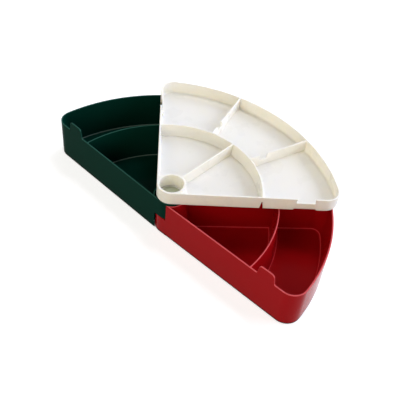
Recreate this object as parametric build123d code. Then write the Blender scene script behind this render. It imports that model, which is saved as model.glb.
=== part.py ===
from build123d import *
from math import cos, radians
import os

# Candy box made of three layers of one quarter disc: a shallow white tray over two deep boxes,
# each half as wide, that swing out from under it about one upright pivot. Sizes are in millimetres.
# The origin is where the pivot axis meets the table. +Z is up and +Y runs along the middle of the tray.
# The open boxes reach out to +X (red) and to -X (green), and are shown nearly fully open.

# Plan of the closed box: a quarter disc with round corners, concentric with the pivot at its point
sector_radius = 180.0
hub_radius = 14.2
corner_radius = 15.0

# How far each box stands open, in degrees
red_opening = 43.3
green_opening = 44.7

# Lower boxes
box_height = 42.4
box_wall = 1.45
box_floor = 2.0
box_wall_lean = 3.0
box_floor_fillet = 2.5
box_base_round = 0.8
box_rim_round = 0.4
back_corner_radius = 13.5
back_gap = 0.4
box_divider_radius = 126.6
box_divider = 1.2

# Knuckles round the pivot, red below and green above
knuckle_clear_radius = 16.0
knuckle_arc_wall = 1.0
red_knuckle_top = 20.8
green_knuckle_bottom = 21.2
green_knuckle_plate = 1.8
boss_radius = 8.0
green_boss_top = 36.5

# Pivot post that stands in the red knuckle, and the screw hole in its end
post_radius = 5.5
post_fit = 0.08
post_top = 38.7
pilot_radius = 1.8
pilot_bottom = 20.0

# Finger tab in each box's front wall, with its centre measured along the wall from the pivot
tab_centre = 130.5
tab_foot_half = 10.0
tab_top_half = 8.0
tab_top = 53.8
tab_corner = 3.4
tab_foot_fillet = 1.6
tab_root = 4.0

# Recess in the tray's straight walls that takes the tab, and the notch above it
recess_depth = 2.0
recess_foot_half = 11.6
recess_knee_half = 10.1
recess_top_half = 8.7
recess_knee = 46.0
notch_edge = 50.2

# Top tray
tray_bottom = 43.0
tray_top = 57.6
tray_floor = 1.6
tray_wall = 1.7
tray_floor_fillet = 2.0
tray_base_round = 1.0
tray_rim_round = 0.5

# Arc divider of the tray: a tapered rib round the pivot, hollow underneath
rib_radius = 88.75
rib_foot_half = 3.3
rib_top_half = 0.8
groove_foot_half = 1.85
groove_top_half = 0.35
groove_top = 52.0

# Radial dividers of the tray
spoke_foot_half = 1.1
spoke_top_half = 0.75
outer_spoke_angle = 17.25
spoke_notch_inner = 100.0
spoke_notch_outer = 110.6
spoke_notch_depth = 6.0
spoke_notch_lean = 1.0
spoke_notch_corner = 1.5

# Hub of the tray: a deep bore with a cup below it that turns on the post
hub_bore_radius = 11.9
hub_ledge = 43.4
hub_cove = 1.5
cup_bore_radius = 10.4
cup_radius = 12.0
cup_floor_top = 38.4
cup_bottom = 36.9

# Washer, screw and cover of the pivot
washer_radius = 9.0
washer_thickness = 1.0
screw_radius = 1.75
screw_length = 14.0
screw_head_radius = 3.6
screw_head_height = 2.2
screw_head_round = 1.0
screw_slot_half_length = 2.5
screw_slot_width = 1.1
screw_slot_depth = 1.2
cap_radius = 10.35
cap_thickness = 1.2
cap_skirt = 0.9
cap_skirt_bottom = 40.3
cap_round = 0.4

apex = (-hub_radius, -hub_radius)
front_face = -hub_radius
box_front_inside = front_face + box_wall
boss_bore_radius = post_radius + post_fit
over_rim = 1.0
middle_of_sector = 45.0
across_middle = Plane(origin=(0, 0, 0), z_dir=(1, -1, 0))


# Helpers. Every piece of the closed box is drawn with its straight sides along +X and +Y.

def disc(radius, centre=(0, 0)):
    return Pos(*centre) * Circle(radius)


def slab(face, bottom, top):
    """A flat outline raised to a solid between two heights."""
    return Pos(0, 0, bottom) * extrude(face, top - bottom)


def nearest(shape, point):
    return shape.vertices().sort_by_distance(point)[0]


def in_front_wall(profile, outer, inner):
    """A profile drawn as (along the wall, height), made solid between two planes beside the front wall."""
    return Pos(0, inner, 0) * extrude(Plane.XZ * profile, inner - outer)


def rounded_base(solid, radius):
    return fillet(solid.edges().group_by(Axis.Z)[0], radius)


def rounded_rim(solid, level, radius, thickness):
    """Rounds the edges at and above level, apart from the short ones that cross the front wall."""
    def crosses_wall(edge):
        run = edge.vertices()[-1].center() - edge.vertices()[0].center()
        return abs(run.X) < 0.01 and abs(run.Z) < 0.01 and abs(abs(run.Y) - thickness) < 0.05
    high = [edge for edge in solid.edges() if min(v.Z for v in edge.vertices()) > level - 0.01]
    return fillet([edge for edge in high if not crosses_wall(edge)], radius)


# Outlines

def sector(inset=0.0):
    """The closed quarter disc, moved in by inset."""
    low = front_face + inset
    radius = sector_radius - inset
    reach = apex[0] + (radius ** 2 - inset ** 2) ** 0.5
    middle = apex[0] + radius * cos(radians(middle_of_sector))
    outline = make_face([
        Line((low, low), (reach, low)),
        ThreePointArc((reach, low), (middle, middle), (low, reach)),
        Line((low, reach), (low, low)),
    ])
    outline = fillet(nearest(outline, (low, low)), hub_radius - inset)
    for corner in ((reach, low), (low, reach)):
        outline = fillet(nearest(outline, corner), corner_radius - inset)
    return outline


def wedge(inset=0.0):
    """The half of the sector beside its +X side, up to the back wall, moved in by inset."""
    offset = back_gap + inset
    size = 4 * sector_radius
    beside_middle = Rot(0, 0, middle_of_sector) * Pos(0, -offset - size / 2) * Rectangle(size, size)
    radius = sector_radius - inset
    run = (radius ** 2 - offset ** 2) ** 0.5
    diagonal = cos(radians(middle_of_sector))
    corner = (apex[0] + (run + offset) * diagonal, apex[1] + (run - offset) * diagonal)
    outline = sector(inset) & beside_middle
    return fillet(nearest(outline, corner), back_corner_radius - inset)


# Lower boxes

def finger_tab():
    foot = box_height - tab_root
    shoulder = tab_foot_half + 2 * tab_root
    right = [(shoulder, foot), (shoulder, box_height), (tab_foot_half, box_height), (tab_top_half, tab_top)]
    left = [(-x, z) for x, z in reversed(right)]
    corners = [(tab_centre + x, z) for x, z in right + left]
    profile = make_face(Polyline(*corners, close=True))
    for corner in corners[3:5]:
        profile = fillet(nearest(profile, corner), tab_corner)
    for corner in (corners[2], corners[5]):
        profile = fillet(nearest(profile, corner), tab_foot_fillet)
    return in_front_wall(profile, front_face, box_front_inside)


def compartment_plans(lean=0.0):
    """Outlines of a lower box's two hollows, narrowed on every side by lean."""
    plan = wedge(box_wall + lean) - disc(knuckle_clear_radius + knuckle_arc_wall + lean)
    inner = plan & disc(box_divider_radius - box_divider / 2 - lean, apex)
    outer = plan - disc(box_divider_radius + box_divider / 2 + lean, apex)
    return inner, outer


def compartments():
    """The two hollows of a lower box, as solids to cut away: narrower at the floor, with round floor edges."""
    hollows = []
    for mouth, foot in zip(compartment_plans(), compartment_plans(box_wall_lean)):
        hollow = loft([Pos(0, 0, box_floor) * foot, Pos(0, 0, box_height) * mouth], ruled=True)
        hollow = rounded_base(hollow, box_floor_fillet)
        hollows.append(hollow + slab(mouth, box_height, tab_top + over_rim))
    return hollows


def walls_and_floor():
    """A lower box without its knuckle. Its base edge is round, apart from the arc beside the knuckle."""
    shell = slab(wedge() - disc(knuckle_clear_radius), 0, box_height)
    base = shell.edges().group_by(Axis.Z)[0]
    shell = fillet([edge for edge in base if (edge @ 0.5).length > 2 * knuckle_clear_radius], box_base_round)
    shell += finger_tab()
    for hollow in compartments():
        shell -= hollow
    return shell


def knuckle(bottom, top):
    """A solid knuckle that runs into the arc wall of its box."""
    link = wedge() & disc(knuckle_clear_radius + knuckle_arc_wall / 2)
    return slab(link + disc(hub_radius), bottom, top)


def knuckle_hollow(bottom, top):
    """The ring of air between a knuckle's skirt and its boss."""
    inside = disc(hub_radius - box_wall) + (wedge(box_wall) & disc(knuckle_clear_radius))
    return slab(inside - disc(boss_radius), bottom, top)


def red_box():
    box = walls_and_floor() + knuckle(0, red_knuckle_top)
    box -= knuckle_hollow(box_floor, red_knuckle_top)
    box += slab(disc(post_radius), box_floor, post_top)
    box -= slab(disc(pilot_radius), pilot_bottom, post_top)
    return rounded_rim(box, box_height, box_rim_round, box_wall)


def green_box():
    box = walls_and_floor() + knuckle(green_knuckle_bottom, box_height)
    box -= knuckle_hollow(green_knuckle_bottom + green_knuckle_plate, box_height)
    box -= slab(disc(boss_radius), green_boss_top, box_height)
    box -= slab(disc(boss_bore_radius), green_knuckle_bottom, green_boss_top)
    return mirror(rounded_rim(box, box_height, box_rim_round, box_wall), across_middle)


# Top tray

def tapered_ring(foot_half, top_half, bottom, top):
    """A ring round the pivot at the rib's radius, with a tapered section."""
    section = Polyline(
        (rib_radius - foot_half, bottom), (rib_radius + foot_half, bottom),
        (rib_radius + top_half, top), (rib_radius - top_half, top), close=True)
    return revolve(Plane.XZ * make_face(section), Axis.Z)


def spoke(start, end):
    """A tapered radial divider along +X between two radii."""
    foot = tray_bottom + tray_floor / 2
    section = Polyline(
        (-spoke_foot_half, foot), (spoke_foot_half, foot),
        (spoke_top_half, tray_top), (-spoke_top_half, tray_top), close=True)
    return Pos(start, 0, 0) * extrude(Plane.YZ * make_face(section), end - start)


def spoke_notch():
    """The dip in an outer spoke's top edge."""
    low = tray_top - spoke_notch_depth
    corners = [
        (spoke_notch_inner, tray_top + over_rim),
        (spoke_notch_inner + spoke_notch_lean, low),
        (spoke_notch_outer - spoke_notch_lean, low),
        (spoke_notch_outer, tray_top + over_rim),
    ]
    profile = make_face(Polyline(*corners, close=True))
    for corner in corners[1:3]:
        profile = fillet(nearest(profile, corner), spoke_notch_corner)
    return in_front_wall(profile, -2 * spoke_foot_half, 2 * spoke_foot_half)


def dividers():
    rib = tapered_ring(rib_foot_half, rib_top_half, tray_bottom + tray_floor / 2, tray_top)
    web = rib + Rot(0, 0, middle_of_sector) * spoke(hub_radius - tray_wall, rib_radius)
    outer = spoke(rib_radius, sector_radius) - spoke_notch()
    for angle in (-outer_spoke_angle, outer_spoke_angle):
        web += Rot(0, 0, middle_of_sector + angle) * outer
    return web & slab(sector(tray_wall / 2), tray_bottom, tray_top)


def recess_profile():
    """Outline of a tab recess, wide at the tray's lower edge and narrow at its rim."""
    right = [
        (recess_foot_half, tray_bottom - over_rim), (recess_foot_half, tray_bottom),
        (recess_knee_half, recess_knee), (recess_top_half, tray_top), (recess_top_half, tray_top + over_rim),
    ]
    left = [(-x, z) for x, z in reversed(right)]
    return make_face(Polyline(*[(tab_centre + x, z) for x, z in right + left], close=True))


def recess_backing():
    """The wall behind a recess, stepped into the tray and ending at the lowered edge."""
    inner = front_face + recess_depth + tray_wall
    outer = front_face + tray_wall / 2
    half = recess_foot_half + tray_wall / 2
    slant = inner - outer
    plan = make_face(Polyline(
        (tab_centre - half - slant, outer), (tab_centre + half + slant, outer),
        (tab_centre + half, inner), (tab_centre - half, inner), close=True))
    return slab(plan, tray_bottom, notch_edge)


def recess_cuts():
    """The shallow recess in the outer face, and the notch right through the wall above the lowered edge."""
    deep = in_front_wall(recess_profile(), front_face - over_rim, front_face + recess_depth)
    through = in_front_wall(recess_profile(), front_face - over_rim, front_face + 2 * recess_depth)
    above = slab(Rectangle(3 * sector_radius, 3 * sector_radius), notch_edge, tray_top + over_rim)
    return [deep, through & above]


def on_both_straight_walls(solids):
    return solids + [mirror(solid, across_middle) for solid in solids]


def top_tray():
    tray = rounded_base(slab(sector(), tray_bottom, tray_top), tray_base_round)
    inside = sector(tray_wall) - disc(hub_radius)
    inside = fillet(inside.vertices().sort_by_distance((0, 0))[:2], hub_cove)
    tray -= rounded_base(slab(inside, tray_bottom + tray_floor, tray_top + over_rim), tray_floor_fillet)
    for backing in on_both_straight_walls([recess_backing()]):
        tray += backing
    tray += dividers()
    tray += slab(disc(cup_radius), cup_bottom, hub_ledge)
    tray -= slab(disc(hub_bore_radius), hub_ledge, tray_top)
    tray -= slab(disc(cup_bore_radius), cup_floor_top, hub_ledge)
    tray -= slab(disc(boss_bore_radius), cup_bottom, cup_floor_top)
    tray -= tapered_ring(groove_foot_half, groove_top_half, tray_bottom, groove_top)
    for cut in on_both_straight_walls(recess_cuts()):
        tray -= cut
    return rounded_rim(tray, tray_top, tray_rim_round, tray_wall)


# Pivot hardware

def pivot_washer():
    return slab(disc(washer_radius) - disc(pilot_radius), post_top, post_top + washer_thickness)


def pivot_screw():
    """A cross-slotted pan head screw: its head on the washer and its shank down the post."""
    seat = post_top + washer_thickness
    crown = seat + screw_head_height
    head = slab(disc(screw_head_radius), seat, crown)
    head = fillet(head.edges().group_by(Axis.Z)[-1], screw_head_round)
    slot = Rectangle(2 * screw_slot_half_length, screw_slot_width)
    head -= slab(slot + Rot(0, 0, 90) * slot, crown - screw_slot_depth, crown)
    return head + slab(disc(screw_radius), seat - screw_length, seat)


def hub_cap():
    """The round cover at the bottom of the hub, with a short skirt that presses into the cup."""
    cover = slab(disc(cap_radius), cap_skirt_bottom, hub_ledge)
    cover = fillet(cover.edges().group_by(Axis.Z)[-1], cap_round)
    return cover - slab(disc(cap_radius - cap_skirt), cap_skirt_bottom, hub_ledge - cap_thickness)


nodes = {
    "top_tray": Rot(0, 0, middle_of_sector) * top_tray(),
    "red_box": Rot(0, 0, middle_of_sector - red_opening) * red_box(),
    "green_box": Rot(0, 0, middle_of_sector + green_opening) * green_box(),
    "pivot_washer": pivot_washer(),
    "pivot_screw": pivot_screw(),
    "hub_cap": hub_cap(),
}

os.makedirs("parts", exist_ok=True)
for name, solid in nodes.items():
    export_step(solid, "parts/" + name + ".step")
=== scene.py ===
from math import cos, radians, sin

import bmesh
import bpy
from mathutils import Matrix, Vector

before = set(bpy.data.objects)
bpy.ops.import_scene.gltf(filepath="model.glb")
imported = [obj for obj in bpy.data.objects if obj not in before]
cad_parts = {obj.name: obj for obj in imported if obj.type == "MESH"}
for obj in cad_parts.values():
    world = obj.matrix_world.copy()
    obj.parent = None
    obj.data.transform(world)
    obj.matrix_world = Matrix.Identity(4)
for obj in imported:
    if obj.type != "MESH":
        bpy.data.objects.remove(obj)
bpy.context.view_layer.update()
print("candy box: packed frame loaded")

scene = bpy.context.scene


# small helpers for node trees

def newTree(name):
    material = bpy.data.materials.new(name)
    material.use_nodes = True
    material.node_tree.nodes.clear()
    return material, material.node_tree


def feedSocket(tree, socket, value):
    if isinstance(value, bpy.types.NodeSocket):
        tree.links.new(value, socket)
    else:
        socket.default_value = value


def addNode(tree, kind, settings=None, **inputs):
    node = tree.nodes.new(kind)
    for key, value in (settings or {}).items():
        setattr(node, key, value)
    for key, value in inputs.items():
        feedSocket(tree, node.inputs[key.replace("_", " ")], value)
    return node


def mathNode(tree, operation, first, second):
    node = addNode(tree, "ShaderNodeMath", {"operation": operation})
    feedSocket(tree, node.inputs[0], first)
    feedSocket(tree, node.inputs[1], second)
    return node.outputs[0]


# the sockets that a Mix node uses for colours

mixSockets = {"share": 0, "first": 6, "second": 7, "result": 2}


def mixedColour(tree, share, first, second):
    mixed = addNode(tree, "ShaderNodeMix", {"data_type": "RGBA"})
    feedSocket(tree, mixed.inputs[mixSockets["share"]], share)
    feedSocket(tree, mixed.inputs[mixSockets["first"]], first)
    feedSocket(tree, mixed.inputs[mixSockets["second"]], second)
    return mixed.outputs[mixSockets["result"]]


def objectNoise(tree, scale, detail):
    place = addNode(tree, "ShaderNodeTexCoord")
    noise = addNode(tree, "ShaderNodeTexNoise", Vector=place.outputs["Object"],
                    Scale=scale, Detail=detail)
    return noise.outputs["Fac"]


def spreadOver(tree, value, low, high, start=0.3, end=0.7):
    # noise keeps mostly between 0.3 and 0.7, so that range is spread unless another is given
    ranged = addNode(tree, "ShaderNodeMapRange", Value=value)
    ranged.inputs["From Min"].default_value = start
    ranged.inputs["From Max"].default_value = end
    ranged.inputs["To Min"].default_value = low
    ranged.inputs["To Max"].default_value = high
    return ranged.outputs["Result"]


# moulded plastics: colours are linear. Drift is the colour that a plastic wanders to, and scatter
# the share of the light that goes under its surface

whitePlastic = {
    "colour": (0.86, 0.83, 0.745, 1),
    "drift": (0.845, 0.81, 0.72, 1),
    "roughness": (0.24, 0.34),
    "shine": 0.15,
    "scatter": 0.3,
    "edges": None,
}

# the cover in the hub hole is darker and greener than the tray round it: painted shade for the depth of the
# hole

capPlastic = {**whitePlastic, "colour": (0.54, 0.57, 0.42, 1), "drift": (0.52, 0.55, 0.40, 1)}

redPlastic = {
    "colour": (0.37, 0.0033, 0.0056, 1),
    "drift": (0.34, 0.0028, 0.0047, 1),
    "roughness": (0.08, 0.15),
    "shine": 0.03,
    "scatter": 0.0,
    # painted highlights on rims and floor rounds, and painted shade on the lowest edge and underside
    "edges": {
        "rim": (0.60, 0.085, 0.09, 1),
        "foot": (0.70, 0.05, 0.06, 1),
        "base": (0.10, 0.003, 0.005, 1),
    },
}

greenPlastic = {
    "colour": (0.0012, 0.0300, 0.0192, 1),
    "drift": (0.0018, 0.0264, 0.0182, 1),
    "roughness": (0.08, 0.15),
    "shine": 0.008,
    "scatter": 0.0,
    # painted highlights on rims and floor rounds, and painted shade on the lowest edge and underside
    "edges": {
        "rim": (0.02, 0.078, 0.058, 1),
        "foot": (0.14, 0.20, 0.17, 1),
        "base": (0.0006, 0.007, 0.005, 1),
    },
}

# what every plastic has in common: a pattern is its scale and detail, and lengths are in metres

mouldMarks = {
    "flow": (9, 3),              # slow change of tone through a moulding
    "polish": (55, 4),           # of the mould, in patches about two centimetres across
    "pebble": (900, 2),          # fine skin, about a millimetre
    "pebbleDepth": 0.00001,
    "pebbleStrength": 0.6,
    "scatterRadius": (0.9, 0.7, 0.45),
    "scatterScale": 0.006,
}

# painted highlights and painted shade on edges of the lower boxes: heights are in metres above the
# table, and a tilt is 0 on an upright face and 1 on a level one

edgeLines = {
    "rimStart": 0.0418,          # painted highlight on the rounds on top of the walls
    "rimTilts": (0.05, 0.25),
    "footTop": 0.0050,           # painted highlight: a fine pale line in the rounds where the walls meet the floor
    "footTilts": (0.4, 0.68, 0.92),
    "baseTop": 0.0018,           # painted shade: a dark lowest edge outside, and the underside with it
}


# paints highlights on rims and floor rounds, and shade on the lowest edge, into a plastic's tone
def linedEdges(tree, tone, edges):
    place = addNode(tree, "ShaderNodeTexCoord")
    height = addNode(tree, "ShaderNodeSeparateXYZ", Vector=place.outputs["Object"]).outputs["Z"]
    tilt = addNode(tree, "ShaderNodeSeparateXYZ", Vector=place.outputs["Normal"]).outputs["Z"]
    # painted highlight: the upward-facing rounds high on the walls are made paler
    upper = mathNode(tree, "GREATER_THAN", height, edgeLines["rimStart"])
    rim = mathNode(tree, "MULTIPLY", upper, spreadOver(tree, tilt, 0, 1, *edgeLines["rimTilts"]))
    # painted highlight in the floor rounds, in a middle band of tilts low down
    steep, middle, level = edgeLines["footTilts"]
    rising = spreadOver(tree, tilt, 0, 1, steep, middle)
    falling = spreadOver(tree, tilt, 1, 0, middle, level)
    lower = mathNode(tree, "LESS_THAN", height, edgeLines["footTop"])
    foot = mathNode(tree, "MULTIPLY", lower, mathNode(tree, "MULTIPLY", rising, falling))
    # painted shade on everything below the base height, the underside included
    base = mathNode(tree, "LESS_THAN", height, edgeLines["baseTop"])
    tone = mixedColour(tree, rim, tone, edges["rim"])
    tone = mixedColour(tree, foot, tone, edges["foot"])
    return mixedColour(tree, base, tone, edges["base"])


def mouldedPlastic(name, look):
    material, tree = newTree(name)
    flow = objectNoise(tree, *mouldMarks["flow"])
    polish = objectNoise(tree, *mouldMarks["polish"])
    pebble = objectNoise(tree, *mouldMarks["pebble"])
    tone = mixedColour(tree, spreadOver(tree, flow, 0, 1), look["colour"], look["drift"])
    # painted highlights and painted shade on the edges of the lower boxes
    if look["edges"]:
        tone = linedEdges(tree, tone, look["edges"])
    bump = addNode(tree, "ShaderNodeBump", Height=pebble,
                   Strength=mouldMarks["pebbleStrength"], Distance=mouldMarks["pebbleDepth"])
    plastic = addNode(tree, "ShaderNodeBsdfPrincipled", Base_Color=tone, Normal=bump.outputs["Normal"],
                      Roughness=spreadOver(tree, polish, *look["roughness"]))
    plastic.inputs["Specular IOR Level"].default_value = look["shine"]
    if look["scatter"]:
        plastic.inputs["Subsurface Weight"].default_value = look["scatter"]
        plastic.inputs["Subsurface Radius"].default_value = mouldMarks["scatterRadius"]
        plastic.inputs["Subsurface Scale"].default_value = mouldMarks["scatterScale"]
    addNode(tree, "ShaderNodeOutputMaterial", Surface=plastic.outputs["BSDF"])
    return material


# plated steel of the screw and washer, turned about the pivot axis

platedSteel = {
    "colour": (0.62, 0.62, 0.60, 1),
    "roughness": (0.24, 0.42),
    "grain": (600, 3),           # scale and detail of the plating's grain
    "rings": 1400,
    "ringWaver": 1.5,
    "ringDepth": 0.00003,
    "ringStrength": 0.5,
}


def turnedSteel(name, look):
    material, tree = newTree(name)
    place = addNode(tree, "ShaderNodeTexCoord")
    rings = addNode(tree, "ShaderNodeTexWave", {"wave_type": "RINGS", "rings_direction": "Z"},
                    Vector=place.outputs["Object"], Scale=look["rings"], Distortion=look["ringWaver"])
    grain = objectNoise(tree, *look["grain"])
    bump = addNode(tree, "ShaderNodeBump", Height=rings.outputs["Fac"],
                   Strength=look["ringStrength"], Distance=look["ringDepth"])
    steel = addNode(tree, "ShaderNodeBsdfPrincipled", Normal=bump.outputs["Normal"],
                    Base_Color=look["colour"], Metallic=1,
                    Roughness=spreadOver(tree, grain, *look["roughness"]))
    addNode(tree, "ShaderNodeOutputMaterial", Surface=steel.outputs["BSDF"])
    return material


finishes = {
    "white_plastic": mouldedPlastic("whitePlastic", whitePlastic),
    # painted shade: the cover in the hub hole is darker and greener than the tray
    "cap_plastic": mouldedPlastic("capPlastic", capPlastic),
    "red_plastic": mouldedPlastic("redPlastic", redPlastic),
    "green_plastic": mouldedPlastic("greenPlastic", greenPlastic),
    "plated_steel": turnedSteel("platedSteel", platedSteel),
}

nodeFinish = {
    "top_tray": "white_plastic",
    "hub_cap": "cap_plastic",
    "red_box": "red_plastic",
    "green_box": "green_plastic",
    "pivot_washer": "plated_steel",
    "pivot_screw": "plated_steel",
}

for nodeName, finishName in nodeFinish.items():
    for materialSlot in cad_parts[nodeName].material_slots:
        materialSlot.material = finishes[finishName]
print("candy box: finishes on every node")


# floor and world: lengths are in metres. The floor glows where it is seen, apart from narrow gaps

studio = {
    "floorSize": 6.0,
    "floorDrop": 0.0003,
    "floorColour": (0.56, 0.56, 0.56, 1),
    "floorGlow": 0.68,
    "gapReach": 0.012,           # how near a wall has to be to close the floor in
    "gapSamples": 8,
    "gapOpenness": (0.3, 0.5),   # no glow below the first, and all of it above the second
    "skyColour": (1.0, 0.98, 0.94, 1),
    "skyStrength": 0.05,
    "backdropColour": (1, 1, 1, 1),
    "backdropStrength": 1.0,
}

# soft boxes round the object: bearing and height in degrees, sizes in metres, power in watts

softBoxes = {
    "backRightBox": {
        "bearing": 39, "height": 25, "wide": 0.9, "tall": 1.2,
        "power": 16.2, "colour": (0.93, 0.985, 1.18),
    },
    "backBox": {
        "bearing": 90, "height": 24, "wide": 0.9, "tall": 1.0,
        "power": 15.6, "colour": (0.93, 0.985, 1.25),
    },
    "backLeftBox": {
        "bearing": 135, "height": 18, "wide": 0.9, "tall": 0.9,
        "power": 3.5, "colour": (0.92, 1.0, 1.16),
    },
    "overheadBox": {
        "bearing": 100, "height": 67, "wide": 0.6, "tall": 0.3,
        "power": 6.6, "colour": (0.98, 0.99, 1.10),
    },
    "leftBox": {
        "bearing": 198, "height": 30, "wide": 0.7, "tall": 0.7,
        "power": 4.5, "colour": (1.0, 0.98, 0.96),
    },
    "frontBox": {
        "bearing": 266, "height": 36, "wide": 0.9, "tall": 1.0,
        "power": 8.7, "colour": (1.05, 1.0, 0.88),
    },
    "frontRightBox": {
        "bearing": 314, "height": 18, "wide": 0.9, "tall": 0.9,
        "power": 6.3, "colour": (1.06, 0.99, 0.87),
    },
}
boxDistance = 1.6
boxAim = (0.0, 0.07, 0.03)


def seenDirectly(tree):
    # 1 for what the camera, a reflection or a clear material shows, and 0 for light on the object
    path = addNode(tree, "ShaderNodeLightPath")
    either = mathNode(tree, "MAXIMUM", path.outputs["Is Camera Ray"], path.outputs["Is Glossy Ray"])
    return mathNode(tree, "MAXIMUM", either, path.outputs["Is Transmission Ray"])


def floorFinish():
    material, tree = newTree("paleFloor")
    matt = addNode(tree, "ShaderNodeBsdfDiffuse", Color=studio["floorColour"])
    nearby = addNode(tree, "ShaderNodeAmbientOcclusion", {"samples": studio["gapSamples"]},
                     Distance=studio["gapReach"])
    reach = spreadOver(tree, nearby.outputs["AO"], 0, studio["floorGlow"], *studio["gapOpenness"])
    strength = mathNode(tree, "MULTIPLY", seenDirectly(tree), reach)
    glow = addNode(tree, "ShaderNodeEmission", Strength=strength)
    both = addNode(tree, "ShaderNodeAddShader")
    tree.links.new(matt.outputs[0], both.inputs[0])
    tree.links.new(glow.outputs[0], both.inputs[1])
    addNode(tree, "ShaderNodeOutputMaterial", Surface=both.outputs[0])
    return material


def makeFloor():
    mesh = bmesh.new()
    bmesh.ops.create_grid(mesh, x_segments=1, y_segments=1, size=studio["floorSize"] / 2,
                          matrix=Matrix.Translation((0, 0, -studio["floorDrop"])))
    data = bpy.data.meshes.new("floor")
    mesh.to_mesh(data)
    mesh.free()
    data.materials.append(floorFinish())
    floor = bpy.data.objects.new("floor", data)
    scene.collection.objects.link(floor)


def makeWorld():
    world = bpy.data.worlds.new("studio")
    world.use_nodes = True
    tree = world.node_tree
    tree.nodes.clear()
    light = addNode(tree, "ShaderNodeBackground", Color=studio["skyColour"], Strength=studio["skyStrength"])
    shown = addNode(tree, "ShaderNodeBackground", Color=studio["backdropColour"],
                    Strength=studio["backdropStrength"])
    choose = addNode(tree, "ShaderNodeMixShader", Fac=seenDirectly(tree))
    tree.links.new(light.outputs[0], choose.inputs[1])
    tree.links.new(shown.outputs[0], choose.inputs[2])
    addNode(tree, "ShaderNodeOutputWorld", Surface=choose.outputs[0])
    scene.world = world


def makeSoftBox(name, look):
    lamp = bpy.data.lights.new(name, "AREA")
    lamp.shape = "RECTANGLE"
    lamp.size = look["wide"]
    lamp.size_y = look["tall"]
    lamp.energy = look["power"]
    lamp.color = look["colour"]
    holder = bpy.data.objects.new(name, lamp)
    bearing = radians(look["bearing"])
    height = radians(look["height"])
    outward = Vector((cos(height) * cos(bearing), cos(height) * sin(bearing), sin(height)))
    holder.location = Vector(boxAim) + outward * boxDistance
    holder.rotation_euler = (-outward).to_track_quat("-Z", "Y").to_euler()
    scene.collection.objects.link(holder)


makeFloor()
makeWorld()
for boxName, boxLook in softBoxes.items():
    makeSoftBox(boxName, boxLook)
print("candy box: floor and lights in place")


# camera, fitted to the straight walls, arcs and rims of the photograph: metres for its place and
# clipStart, degrees for its angles, and millimetres for the sensor and focal length

cameraView = {
    "place": (0.32127, -0.34040, 0.5153),
    "turn": 39.80,               # round the vertical from looking along +Y
    "down": 45.54,               # below level
    "roll": 6.27,
    "focalLength": 61.12,
    "sensor": 36,
    "clipStart": 0.01,
}


def makeCamera():
    lens = bpy.data.cameras.new("camera")
    lens.sensor_width = cameraView["sensor"]
    lens.lens = cameraView["focalLength"]
    lens.clip_start = cameraView["clipStart"]
    camera = bpy.data.objects.new("camera", lens)
    turned = Matrix.Rotation(radians(cameraView["turn"]), 4, "Z")
    tipped = Matrix.Rotation(radians(90 - cameraView["down"]), 4, "X")
    rolled = Matrix.Rotation(radians(cameraView["roll"]), 4, "Z")
    camera.matrix_world = Matrix.Translation(cameraView["place"]) @ turned @ tipped @ rolled
    scene.collection.objects.link(camera)
    scene.camera = camera


makeCamera()
scene.view_settings.view_transform = "Standard"
print("candy box: camera in place")
